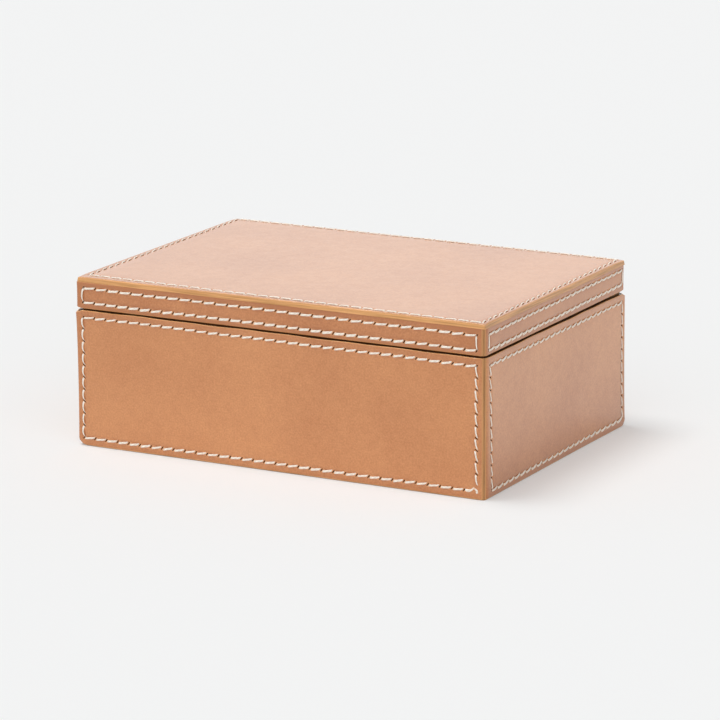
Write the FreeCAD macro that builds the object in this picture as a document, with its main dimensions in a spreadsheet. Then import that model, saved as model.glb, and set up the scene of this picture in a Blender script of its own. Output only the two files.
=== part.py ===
# Leather-covered keepsake box with a lift-off lid.
# Frame: millimetres, +X along the front, -Y out of the front, +Z up, origin under the middle of the base.

import FreeCAD, Part
import Sketcher
import os

# Driving dimensions

SIZES = {
    # Outside of the box
    "box_length": 228.0,  # over the body's leather, along X
    "box_width": 160.0,  # over the body's leather, along Y
    "body_height": 70.4,  # lower to upper edge of the body's leather
    "groove": 0.8,  # open line between the body's leather and the lid's
    "lid_side": 13.0,  # height of the leather on the lid's sides
    "lid_inset": 0.6,  # the lid's leather lies this far inside the body's
    # Leather
    "leather": 2.5,  # sheet on the sides of body and lid
    "corner_round": 3.0,  # outside of the sheet where it turns a corner
    "seam_bevel": 0.7,  # bevel on the raw edges that meet at a seam
    "edge_round": 0.5,  # upper and lower edges of the side leather
    "plate_leather": 2.6,  # sheet on top of the lid
    "plate_overhang": 0.3,  # the top sheet stands out past the lid's sides
    "plate_corner": 1.0,  # corners of the top sheet, seen from above
    "plate_round": 0.6,  # upper edge of the top sheet
    "base_cover": 1.4,  # sheet under the floor
    "base_clearance": 0.3,  # round the sheet under the floor
    "rim_strip": 1.2,  # strips on the walls' edges
    # Wooden core
    "floor_board": 5.0,
    "lid_board": 4.0,  # top of the lid
    "lid_wall": 4.0,  # sides of the lid
    "lip_board": 3.0,  # liner that keeps the lid in place
    "lip_headroom": 2.4,  # from the covered lip up to the lid's lining
    "lid_clearance": 0.4,  # between the covered lip and the lid's lined sides
    # Suede lining
    "suede": 1.0,
    "floor_pad": 2.5,
    "pad_clearance": 0.3,  # round the pad
    # Thread
    "thread_width": 1.1,
    "thread_proud": 0.5,  # height of a stitch above the leather
    "long_pitch": 6.45,  # stitches along the length
    "short_pitch": 6.05,  # stitches along the width and the height
    "stitch_gap": 1.0,  # from the end of one stitch to the start of the next
    "stitch_lean": 8.0,  # degrees that a stitch turns off its row
    "body_row": 4.2,  # rows of the body from the upper and lower edges
    "seam_row": 5.2,  # columns from a seam
    "turned_row": 3.4,  # columns from a turned corner
    "lid_row": 2.7,  # rows of the lid from the upper and lower edges
    "plate_row": 3.3,  # rows of the top sheet from its edge
}

document = FreeCAD.newDocument("leather_box")
sheet = document.addObject("Spreadsheet::Sheet", "Sizes")
for row, (alias, size) in enumerate(SIZES.items(), start=1):
    sheet.set(f"A{row}", alias.replace("_", " "))
    sheet.set(f"B{row}", str(size))
    sheet.setAlias(f"B{row}", alias)
document.recompute()

# Sizes that follow from the driving ones, as expressions

CORE_LENGTH = "(Sizes.box_length - 2 * Sizes.leather)"
CORE_WIDTH = "(Sizes.box_width - 2 * Sizes.leather)"
# The wall leaves room above it for the lid's side, its lining, the clearance and the turned lining.
WALL = "(Sizes.lid_inset + Sizes.lid_wall + 2 * Sizes.suede + Sizes.lid_clearance)"
INNER_LENGTH = f"({CORE_LENGTH} - 2 * {WALL})"
INNER_WIDTH = f"({CORE_WIDTH} - 2 * {WALL})"
LINER = "(Sizes.lip_board + Sizes.suede)"
ROOM_LENGTH = f"({INNER_LENGTH} - 2 * {LINER})"
ROOM_WIDTH = f"({INNER_WIDTH} - 2 * {LINER})"

LID_LENGTH = "(Sizes.box_length - 2 * Sizes.lid_inset)"
LID_WIDTH = "(Sizes.box_width - 2 * Sizes.lid_inset)"
LID_CORE_LENGTH = f"({LID_LENGTH} - 2 * Sizes.leather)"
LID_CORE_WIDTH = f"({LID_WIDTH} - 2 * Sizes.leather)"
LID_INNER_LENGTH = f"({LID_CORE_LENGTH} - 2 * Sizes.lid_wall)"
LID_INNER_WIDTH = f"({LID_CORE_WIDTH} - 2 * Sizes.lid_wall)"
LID_EDGE = "(Sizes.lid_wall + Sizes.suede)"
PLATE_LENGTH = f"({LID_LENGTH} + 2 * Sizes.plate_overhang)"
PLATE_WIDTH = f"({LID_WIDTH} + 2 * Sizes.plate_overhang)"

# Levels, from the base up

GROUND = "0"
FLOOR_LOW = "Sizes.base_cover"
FLOOR_TOP = "(Sizes.base_cover + Sizes.floor_board)"
SEAT = "(Sizes.body_height + Sizes.groove / 2)"  # here the lid rests on the body
WALL_TOP = f"({SEAT} - Sizes.rim_strip)"
LID_LOW = "(Sizes.body_height + Sizes.groove)"
LID_WALL_LOW = f"({SEAT} + Sizes.rim_strip)"
PLATE_LOW = f"({LID_LOW} + Sizes.lid_side)"
LID_BOARD_LOW = f"({PLATE_LOW} - Sizes.lid_board)"
LID_LINING_LOW = f"({LID_BOARD_LOW} - Sizes.suede)"
LIP_TOP = f"({LID_LINING_LOW} - Sizes.lip_headroom - Sizes.suede)"

# Each side is drawn as the front and turned about Z to its place, in this order.
SIDES = ("front", "right", "back", "left")
TURN = {side: 360 * order // len(SIDES) for order, side in enumerate(SIDES)}

TOUCH = 0.001  # points nearer than this count as the same

pieces = []


def value(expression):
    """The number that an expression of the sheet gives now."""
    return float(sheet.evalExpression(expression))


def board(label, corner, size):
    """A rectangular piece from its lowest corner and its sizes along X, Y and Z."""
    piece = document.addObject("Part::Box", label)
    for side, expression in zip(("Length", "Width", "Height"), size):
        piece.setExpression(side, expression)
    for axis, expression in zip("xyz", corner):
        piece.setExpression(f"Placement.Base.{axis}", expression)
    pieces.append(piece)


def centred_board(label, length, width, low, height):
    """A rectangular piece over the origin."""
    board(label, (f"-{length} / 2", f"-{width} / 2", low), (length, width, height))


def new_body(label, turn, low):
    """An empty body, turned about Z and set at its level."""
    body = document.addObject("PartDesign::Body", label)
    body.Placement = FreeCAD.Placement(FreeCAD.Vector(), FreeCAD.Rotation(FreeCAD.Vector(0, 0, 1), turn))
    body.setExpression("Placement.Base.z", low)
    pieces.append(body)
    return body


def outline(body, plane, loops):
    """A sketch of closed straight-sided loops, every corner held by two dimensions from the origin."""
    sketch = body.newObject("Sketcher::SketchObject", f"{body.Label}_{plane}")
    support = next(item for item in body.Origin.OriginFeatures if item.Role == plane)
    sketch.AttachmentSupport = (support, [""])
    sketch.MapMode = "FlatFace"
    for loop in loops:
        first = sketch.GeometryCount
        count = len(loop)
        points = [FreeCAD.Vector(value(across), value(up), 0) for across, up in loop]
        for index, point in enumerate(points):
            sketch.addGeometry(Part.LineSegment(point, points[(index + 1) % count]), False)
        for index, (across, up) in enumerate(loop):
            line = first + index
            before = first + (index - 1) % count
            sketch.addConstraint(Sketcher.Constraint("Coincident", before, 2, line, 1))
            for kind, expression in (("DistanceX", across), ("DistanceY", up)):
                rule = Sketcher.Constraint(kind, -1, 1, line, 1, value(expression))
                number = sketch.addConstraint(rule)
                sketch.setExpression(f"Constraints[{number}]", expression)
    return sketch


def pad(body, sketch, length):
    """Thicken a sketch along its normal."""
    feature = body.newObject("PartDesign::Pad", f"{body.Label}_pad")
    feature.Profile = sketch
    feature.setExpression("Length", length)
    document.recompute()
    return feature


def round_edges(body, base, radius, chosen):
    """Fillet the edges that the test picks by their bounding box."""
    feature = body.newObject("PartDesign::Fillet", f"{body.Label}_{radius}")
    numbers = [number for number, edge in enumerate(base.Shape.Edges, start=1) if chosen(edge.BoundBox)]
    feature.Base = (base, [f"Edge{number}" for number in numbers])
    feature.setExpression("Radius", f"Sizes.{radius}")
    document.recompute()
    return feature


def is_upright(box):
    """An edge that stands along Z."""
    return box.ZLength > box.XLength + box.YLength


def along_side(turn, length, width):
    """Length along a side, and distance across the box to the opposite side."""
    return (length, width) if turn % 180 == 0 else (width, length)


def mitred_strip(label, turn, length, width, thick, low, height):
    """One side of a mitred frame, from the outside of the whole frame."""
    run, reach = along_side(turn, length, width)
    body = new_body(label, turn, low)
    corners = [
        (f"-{run} / 2", f"-{reach} / 2"),
        (f"{run} / 2", f"-{reach} / 2"),
        (f"{run} / 2 - {thick}", f"{thick} - {reach} / 2"),
        (f"{thick} - {run} / 2", f"{thick} - {reach} / 2"),
    ]
    pad(body, outline(body, "XY_Plane", [corners]), height)


def turned_leather(label, turn, length, width, low, height):
    """Leather over the front and the left side in one sheet, its ends mitred and bevelled for the seams."""
    body = new_body(label, turn, low)
    corners = [
        (f"-{length} / 2", f"-{width} / 2"),
        (f"{length} / 2 - 2 * Sizes.seam_bevel", f"-{width} / 2"),
        (f"{length} / 2 - Sizes.seam_bevel", f"Sizes.seam_bevel - {width} / 2"),
        (f"{length} / 2 - Sizes.leather", f"Sizes.leather - {width} / 2"),
        (f"Sizes.leather - {length} / 2", f"Sizes.leather - {width} / 2"),
        (f"Sizes.leather - {length} / 2", f"{width} / 2 - Sizes.leather"),
        (f"Sizes.seam_bevel - {length} / 2", f"{width} / 2 - Sizes.seam_bevel"),
        (f"-{length} / 2", f"{width} / 2 - 2 * Sizes.seam_bevel"),
    ]
    sheet_pad = pad(body, outline(body, "XY_Plane", [corners]), height)
    outer = sheet_pad.Shape.BoundBox

    def on_front(box):
        return box.YMin < outer.YMin + TOUCH

    def on_left(box):
        return box.XMin < outer.XMin + TOUCH

    def at_turned_corner(box):
        return is_upright(box) and on_front(box) and on_left(box)

    def on_outer_edge(box):
        along_front = on_front(box) and box.YLength < TOUCH
        along_left = on_left(box) and box.XLength < TOUCH
        round_corner = on_front(box) and on_left(box)
        return box.ZLength < TOUCH and (along_front or along_left or round_corner)

    turned = round_edges(body, sheet_pad, "corner_round", at_turned_corner)
    round_edges(body, turned, "edge_round", on_outer_edge)


def turned_lining(label, turn):
    """Suede up the inside of a liner board, over its top and down to the rim, mitred at both ends."""
    run, reach = along_side(turn, INNER_LENGTH, INNER_WIDTH)
    body = new_body(label, turn, GROUND)
    outside = f"(-{reach} / 2 - Sizes.suede)"
    inside = f"({LINER} - {reach} / 2)"
    section = [
        (outside, SEAT),
        (f"-{reach} / 2", SEAT),
        (f"-{reach} / 2", LIP_TOP),
        (f"Sizes.lip_board - {reach} / 2", LIP_TOP),
        (f"Sizes.lip_board - {reach} / 2", FLOOR_TOP),
        (inside, FLOOR_TOP),
        (inside, f"{LIP_TOP} + Sizes.suede"),
        (outside, f"{LIP_TOP} + Sizes.suede"),
    ]
    half = f"({run} / 2 + Sizes.suede)"
    lining_pad = pad(body, outline(body, "YZ_Plane", [section]), f"2 * {half}")
    lining_pad.SideType = "Symmetric"
    document.recompute()
    depth = f"({LINER} + Sizes.suede)"
    waste_right = [(half, outside), (half, inside), (f"{half} - {depth}", inside)]
    waste_left = [(f"-{half}", outside), (f"{depth} - {half}", inside), (f"-{half}", inside)]
    mitre = body.newObject("PartDesign::Pocket", f"{label}_mitre")
    mitre.Profile = outline(body, "XY_Plane", [waste_right, waste_left])
    mitre.Type = "ThroughAll"
    mitre.SideType = "Symmetric"
    document.recompute()
    if mitre.Shape.Volume >= lining_pad.Shape.Volume:
        raise RuntimeError(f"{label}: the mitre cuts nothing")


def top_plate(label):
    """The leather sheet on the lid, with rounded corners and a rounded upper edge."""
    body = new_body(label, TURN["front"], PLATE_LOW)
    half_length = f"{PLATE_LENGTH} / 2"
    half_width = f"{PLATE_WIDTH} / 2"
    corners = [
        (f"-{half_length}", f"-{half_width}"),
        (half_length, f"-{half_width}"),
        (half_length, half_width),
        (f"-{half_length}", half_width),
    ]
    plate_pad = pad(body, outline(body, "XY_Plane", [corners]), "Sizes.plate_leather")
    rounded = round_edges(body, plate_pad, "plate_corner", is_upright)
    top = rounded.Shape.BoundBox.ZMax
    flat = value("Sizes.plate_round") / 2
    round_edges(body, rounded, "plate_round", lambda box: box.ZMin > top - flat)


def border(left, right, low, high, run_pitch, rise_pitch):
    """Middle, direction and pitch of every stitch round a rectangle."""
    seats = []
    columns = max(1, round((right - left) / run_pitch))
    step = (right - left) / columns
    for index in range(columns):
        middle = left + (index + 0.5) * step
        seats += [(middle, low, 0, step), (middle, high, 0, step)]
    rows = max(1, round((high - low) / rise_pitch))
    step = (high - low) / rows
    for index in range(rows):
        middle = low + (index + 0.5) * step
        seats += [(left, middle, 90, step), (right, middle, 90, step)]
    return seats


def stitches(label, face, seats):
    """A bar for each stitch, lying on a face whose placement has its Z axis pointing out."""
    width = value("Sizes.thread_width")
    proud = value("Sizes.thread_proud")
    upright = FreeCAD.Vector(0, 0, 1)
    bars = []
    for across, up, direction, step in seats:
        long = step - value("Sizes.stitch_gap")
        bar = Part.makeBox(long, width, proud, FreeCAD.Vector(-long / 2, -width / 2, 0))
        turn = FreeCAD.Rotation(upright, direction + value("Sizes.stitch_lean"))
        bar.Placement = face.multiply(FreeCAD.Placement(FreeCAD.Vector(across, up, 0), turn))
        bars.append(bar)
    piece = document.addObject("Part::Feature", label)
    piece.Shape = Part.makeCompound(bars)
    pieces.append(piece)
    print(label, len(bars), "stitches")


def side_stitches(label, turn, length, width, low, high, rise_pitch):
    """The stitched rectangle on one side, which has a turned corner at one end and a seam at the other."""
    run, reach = (value(size) for size in along_side(turn, length, width))
    seam = value("Sizes.seam_row")
    turned = value("Sizes.turned_row")
    is_long = turn % 180 == 0
    left, right = (turned, seam) if is_long else (seam, turned)
    run_pitch = value("Sizes.long_pitch" if is_long else "Sizes.short_pitch")
    around = FreeCAD.Rotation(FreeCAD.Vector(0, 0, 1), turn)
    upright = FreeCAD.Rotation(FreeCAD.Vector(1, 0, 0), 90)
    middle = around.multVec(FreeCAD.Vector(0, -reach / 2, 0))
    face = FreeCAD.Placement(middle, around.multiply(upright))
    seats = border(left - run / 2, run / 2 - right, value(low), value(high), run_pitch, rise_pitch)
    stitches(label, face, seats)


# Core and base of the body

centred_board(
    "base_cover",
    f"({CORE_LENGTH} - 2 * Sizes.base_clearance)",
    f"({CORE_WIDTH} - 2 * Sizes.base_clearance)",
    GROUND,
    "Sizes.base_cover",
)
centred_board("floor_board", CORE_LENGTH, CORE_WIDTH, FLOOR_LOW, "Sizes.floor_board")

wall_height = f"{WALL_TOP} - {FLOOR_TOP}"
long_wall = (CORE_LENGTH, WALL, wall_height)
short_wall = (WALL, INNER_WIDTH, wall_height)
board("front_board", (f"-{CORE_LENGTH} / 2", f"-{CORE_WIDTH} / 2", FLOOR_TOP), long_wall)
board("back_board", (f"-{CORE_LENGTH} / 2", f"{INNER_WIDTH} / 2", FLOOR_TOP), long_wall)
board("left_board", (f"-{CORE_LENGTH} / 2", f"-{INNER_WIDTH} / 2", FLOOR_TOP), short_wall)
board("right_board", (f"{INNER_LENGTH} / 2", f"-{INNER_WIDTH} / 2", FLOOR_TOP), short_wall)

# Rim, lip and lining of the body

for side, turn in TURN.items():
    mitred_strip(f"{side}_rim", turn, CORE_LENGTH, CORE_WIDTH, WALL, WALL_TOP, "Sizes.rim_strip")
    lip_height = f"{LIP_TOP} - {FLOOR_TOP}"
    mitred_strip(f"{side}_lip", turn, INNER_LENGTH, INNER_WIDTH, "Sizes.lip_board", FLOOR_TOP, lip_height)
    turned_lining(f"{side}_lining", turn)

centred_board(
    "floor_pad",
    f"({ROOM_LENGTH} - 2 * Sizes.pad_clearance)",
    f"({ROOM_WIDTH} - 2 * Sizes.pad_clearance)",
    FLOOR_TOP,
    "Sizes.floor_pad",
)

# Core, rim and lining of the lid

centred_board("lid_top_board", LID_CORE_LENGTH, LID_CORE_WIDTH, LID_BOARD_LOW, "Sizes.lid_board")
lid_wall_height = f"{LID_BOARD_LOW} - {LID_WALL_LOW}"
long_wall = (LID_CORE_LENGTH, "Sizes.lid_wall", lid_wall_height)
short_wall = ("Sizes.lid_wall", LID_INNER_WIDTH, lid_wall_height)
board("lid_front_board", (f"-{LID_CORE_LENGTH} / 2", f"-{LID_CORE_WIDTH} / 2", LID_WALL_LOW), long_wall)
board("lid_back_board", (f"-{LID_CORE_LENGTH} / 2", f"{LID_INNER_WIDTH} / 2", LID_WALL_LOW), long_wall)
board("lid_left_board", (f"-{LID_CORE_LENGTH} / 2", f"-{LID_INNER_WIDTH} / 2", LID_WALL_LOW), short_wall)
board("lid_right_board", (f"{LID_INNER_LENGTH} / 2", f"-{LID_INNER_WIDTH} / 2", LID_WALL_LOW), short_wall)
centred_board("lid_lining", LID_INNER_LENGTH, LID_INNER_WIDTH, LID_LINING_LOW, "Sizes.suede")
for side, turn in TURN.items():
    frame = (turn, LID_CORE_LENGTH, LID_CORE_WIDTH)
    mitred_strip(f"lid_{side}_rim", *frame, LID_EDGE, SEAT, "Sizes.rim_strip")
    lined_height = f"{LID_LINING_LOW} - {LID_WALL_LOW}"
    inner_frame = (turn, LID_INNER_LENGTH, LID_INNER_WIDTH)
    mitred_strip(f"lid_{side}_lining", *inner_frame, "Sizes.suede", LID_WALL_LOW, lined_height)

# Leather

body_plan = ("Sizes.box_length", "Sizes.box_width")
for label, turn in (("front_left", TURN["front"]), ("right_back", TURN["back"])):
    turned_leather(f"{label}_leather", turn, *body_plan, GROUND, "Sizes.body_height")
    turned_leather(f"lid_{label}_leather", turn, LID_LENGTH, LID_WIDTH, LID_LOW, "Sizes.lid_side")
top_plate("lid_top_leather")

# Thread

short_pitch = value("Sizes.short_pitch")
for side, turn in TURN.items():
    body_rows = ("Sizes.body_row", "Sizes.body_height - Sizes.body_row")
    side_stitches(f"{side}_stitches", turn, *body_plan, *body_rows, short_pitch)
    lid_rows = (f"{LID_LOW} + Sizes.lid_row", f"{PLATE_LOW} - Sizes.lid_row")
    side_stitches(f"lid_{side}_stitches", turn, LID_LENGTH, LID_WIDTH, *lid_rows, short_pitch)

half_run = value(f"{PLATE_LENGTH} / 2 - Sizes.plate_row")
half_rise = value(f"{PLATE_WIDTH} / 2 - Sizes.plate_row")
plate_top = FreeCAD.Vector(0, 0, value(f"{PLATE_LOW} + Sizes.plate_leather"))
plate_seats = border(-half_run, half_run, -half_rise, half_rise, value("Sizes.long_pitch"), short_pitch)
stitches("lid_top_stitches", FreeCAD.Placement(plate_top, FreeCAD.Rotation()), plate_seats)

# Check everything, then write one file for each piece

document.recompute()
for item in document.Objects:
    if "Invalid" in item.State or "Error" in item.State:
        raise RuntimeError(f"{item.Label} did not build: {item.State}")
for piece in pieces:
    if piece.Shape.isNull() or not piece.Shape.isValid():
        raise RuntimeError(f"{piece.Label} has no valid shape")

os.makedirs("parts", exist_ok=True)
for piece in pieces:
    piece.Shape.exportStep(f"parts/{piece.Label}.step")
print(len(pieces), "pieces")
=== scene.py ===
# %% [markdown]
# # A stitched leather box
# This lesson dresses a keepsake box in natural leather. The core of board, the lid and the way it lifts are
# already made, at their real size, in the frame. Here every sheet of leather is cut flat, punched, sewn and
# then bent round the box, in the order in which a leather worker would do it.

# %% Load the frame
import bmesh
import bpy
import math
from mathutils import Matrix, Vector


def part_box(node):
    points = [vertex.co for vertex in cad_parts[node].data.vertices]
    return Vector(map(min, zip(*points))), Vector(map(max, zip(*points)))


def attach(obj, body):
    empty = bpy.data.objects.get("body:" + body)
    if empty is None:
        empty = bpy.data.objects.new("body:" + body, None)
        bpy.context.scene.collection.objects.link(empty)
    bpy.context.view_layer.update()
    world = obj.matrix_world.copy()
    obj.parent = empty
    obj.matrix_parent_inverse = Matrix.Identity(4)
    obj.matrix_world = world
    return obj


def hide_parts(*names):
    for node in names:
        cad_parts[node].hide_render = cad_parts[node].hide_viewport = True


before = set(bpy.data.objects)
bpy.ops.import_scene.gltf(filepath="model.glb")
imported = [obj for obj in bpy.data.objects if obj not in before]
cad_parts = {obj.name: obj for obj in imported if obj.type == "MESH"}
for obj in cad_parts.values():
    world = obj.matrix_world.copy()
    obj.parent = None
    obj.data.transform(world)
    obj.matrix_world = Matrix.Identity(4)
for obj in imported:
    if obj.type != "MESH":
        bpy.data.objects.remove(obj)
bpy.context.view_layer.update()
MM = 0.001
scene = bpy.context.scene
scene.view_settings.view_transform = "Standard"
print("nodes in the frame:", len(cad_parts))

# %% [markdown]
# ## Camera
# The picture was taken from a long way off with a long lens, so the edges hardly converge. The camera goes
# round the box by the azimuth, up by the elevation and back by the distance. It then slides a little
# sideways and up, which puts the box a bit low in the picture, as in the photograph.

# %% Place the camera
AZIMUTH = math.radians(28.22)
ELEVATION = math.radians(13.90)
ROLL = math.radians(-0.27)
DISTANCE = 2034.9 * MM
SLIDE_RIGHT = 3.1 * MM
SLIDE_UP = 37.9 * MM
SENSOR_WIDTH = 36.0
FOCAL_LENGTH = 200.45

back = Vector((
    math.sin(AZIMUTH) * math.cos(ELEVATION),
    -math.cos(AZIMUTH) * math.cos(ELEVATION),
    math.sin(ELEVATION),
))
level_right = Vector((math.cos(AZIMUTH), math.sin(AZIMUTH), 0))
right = level_right * math.cos(ROLL) + back.cross(level_right) * math.sin(ROLL)
up = back.cross(right)
lens = bpy.data.cameras.new("camera")
lens.sensor_width = SENSOR_WIDTH
lens.lens = FOCAL_LENGTH
camera = bpy.data.objects.new("camera", lens)
scene.collection.objects.link(camera)
place = back * DISTANCE + right * SLIDE_RIGHT + up * SLIDE_UP
camera.matrix_world = Matrix.Translation(place) @ Matrix((right, up, back)).transposed().to_4x4()
scene.camera = camera
print("camera at", [round(c, 3) for c in place])

# %% [markdown]
# ## One function for nodes and one for colours
# Colours are written as they look on a screen, in sRGB hex, and Blender's sockets want linear light. The
# node function adds one node, gives it its settings, and either links or sets each socket. Most nodes have
# one output that matters, the first, so a node's name alone stands for it.

# %% Helpers for colours and nodes
def colour(code):
    """Linear RGBA of an sRGB hex colour."""
    channels = [int(code[i:i + 2], 16) / 255 for i in (0, 2, 4)]
    linear = [c / 12.92 if c <= 0.04045 else ((c + 0.055) / 1.055) ** 2.4 for c in channels]
    return (*linear, 1.0)


def add(tree, kind, settings=None, sockets=None):
    """Add a node; a socket is linked to a node's first output or to a given output, or set to a value."""
    node = tree.nodes.new(kind)
    for key, setting in (settings or {}).items():
        setattr(node, key, setting)
    for key, source in (sockets or {}).items():
        if isinstance(source, bpy.types.Node):
            source = source.outputs[0]
        if isinstance(source, bpy.types.NodeSocket):
            tree.links.new(source, node.inputs[key])
        else:
            node.inputs[key].default_value = source
    return node


def new_material(name):
    """An empty material and its node tree."""
    material = bpy.data.materials.new(name)
    material.use_nodes = True
    material.node_tree.nodes.clear()
    return material, material.node_tree


def per_metre(size_mm):
    """The scale that makes a texture's features about this big."""
    return 1 / (size_mm * MM)


print("white in linear light:", colour("FFFFFF"))

# %% [markdown]
# ## Stage and light
# The box stands on a plain white sweep. A white room lights it from all round, a soft key light, high at the
# left, throws the short shadow on the right, and a wide fill light brightens the front. Both lamps are suns,
# which give the same light everywhere, so the floor stays even. Light Path lets the camera and reflections
# see the room's white at full strength, and the sweep partly as its own white paper and mostly as it is lit,
# which keeps the shadow but makes it lighter. The lit paper is a trace cooler, because the leather throws
# warm light on it.

# %% Floor, world and lamps
FLOOR_REACH = 9.0
PAPER = "F3F3F3"
LIT_PAPER = "F2F3F3"
PAPER_WHITE = 0.28
ROOM_LIGHT = 0.40
LAMPS = (
    {"name": "key_light", "energy": 1.45, "width": 26, "from": Vector((-0.28, -0.08, 0.955))},
    {"name": "fill_light", "energy": 1.12, "width": 90, "from": Vector((0.35, -0.83, 0.44))},
)


def seen_directly(tree):
    """Nodes that give 1 for a ray from the camera, a reflection or a transmission, and 0 for others."""
    ray = add(tree, "ShaderNodeLightPath")
    mirrored = add(tree, "ShaderNodeMath", {"operation": "MAXIMUM"},
                   {0: ray.outputs["Is Glossy Ray"], 1: ray.outputs["Is Transmission Ray"]})
    return add(tree, "ShaderNodeMath", {"operation": "MAXIMUM"},
               {0: ray.outputs["Is Camera Ray"], 1: mirrored})


sweep = bpy.data.meshes.new("sweep")
ends = (-FLOOR_REACH, FLOOR_REACH)
sweep.from_pydata([(x, y, 0) for x in ends for y in ends], [], [(0, 2, 3, 1)])
floor = bpy.data.objects.new("sweep", sweep)
scene.collection.objects.link(floor)

paper, tree = new_material("white_paper_sweep")
lit = add(tree, "ShaderNodeBsdfPrincipled", None,
          {"Base Color": colour(LIT_PAPER), "Roughness": 0.9, "Specular IOR Level": 0.0})
plain = add(tree, "ShaderNodeEmission", None, {"Color": colour(PAPER), "Strength": 1.0})
share = add(tree, "ShaderNodeMath", {"operation": "MULTIPLY"}, {0: seen_directly(tree), 1: PAPER_WHITE})
shown = add(tree, "ShaderNodeMixShader", None, {0: share, 1: lit, 2: plain})
add(tree, "ShaderNodeOutputMaterial", None, {"Surface": shown})
sweep.materials.append(paper)

world = bpy.data.worlds.new("white_room")
world.use_nodes = True
scene.world = world
tree = world.node_tree
tree.nodes.clear()
room = add(tree, "ShaderNodeBackground", None, {"Color": colour("FFFFFF"), "Strength": ROOM_LIGHT})
white = add(tree, "ShaderNodeBackground", None, {"Color": colour("FFFFFF"), "Strength": 1.0})
shown = add(tree, "ShaderNodeMixShader", None, {0: seen_directly(tree), 1: room, 2: white})
add(tree, "ShaderNodeOutputWorld", None, {"Surface": shown})

for lamp in LAMPS:
    sun = bpy.data.lights.new(lamp["name"], "SUN")
    sun.energy = lamp["energy"]
    sun.angle = math.radians(lamp["width"])
    holder = bpy.data.objects.new(lamp["name"], sun)
    holder.rotation_euler = (-lamp["from"]).to_track_quat("-Z", "Y").to_euler()
    scene.collection.objects.link(holder)
print("room light", ROOM_LIGHT, "and", len(LAMPS), "lamps")

# %% [markdown]
# ## Vegetable-tanned leather
# The sheets are cowhide tanned with bark and left undyed: a warm orange tan with soft clouds, a fine grain
# and a waxed surface that turns pale where it is seen at a low angle. A cut edge is rubbed smooth with wax,
# which turns it golden and shows the layers of the hide as thin streaks. Where the edge turns inwards, to the
# gap under the lid, and where it meets the floor, it is painted dark as painted shade. One material does all
# this. Attributes on the mesh say how raw the leather is, how deep a point lies under the face, and how dark
# the hide is; that tone also carries painted light and painted shade.

# %% Leather material
# Real pores lie a few tenths of a millimetre apart. They are drawn coarser here, so that they show.
UNEVENNESS = {
    "clouds": {"size_mm": 60, "detail": 3.0, "roughness": 0.5, "spread": 0.2},
    "flecks": {"size_mm": 5, "detail": 4.0, "roughness": 0.6, "spread": 0.1},
    "pores": {"size_mm": 0.9, "detail": 3.0, "roughness": 0.6, "spread": 0.27},
}
NOISE_SPAN = {"From Min": 0.3, "From Max": 0.7}
LAYER_MM = 0.5
LAYER_RUN_MM = 22
EDGE_WAX = 0.4
PORE_RELIEF = 0.25 * MM


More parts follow.
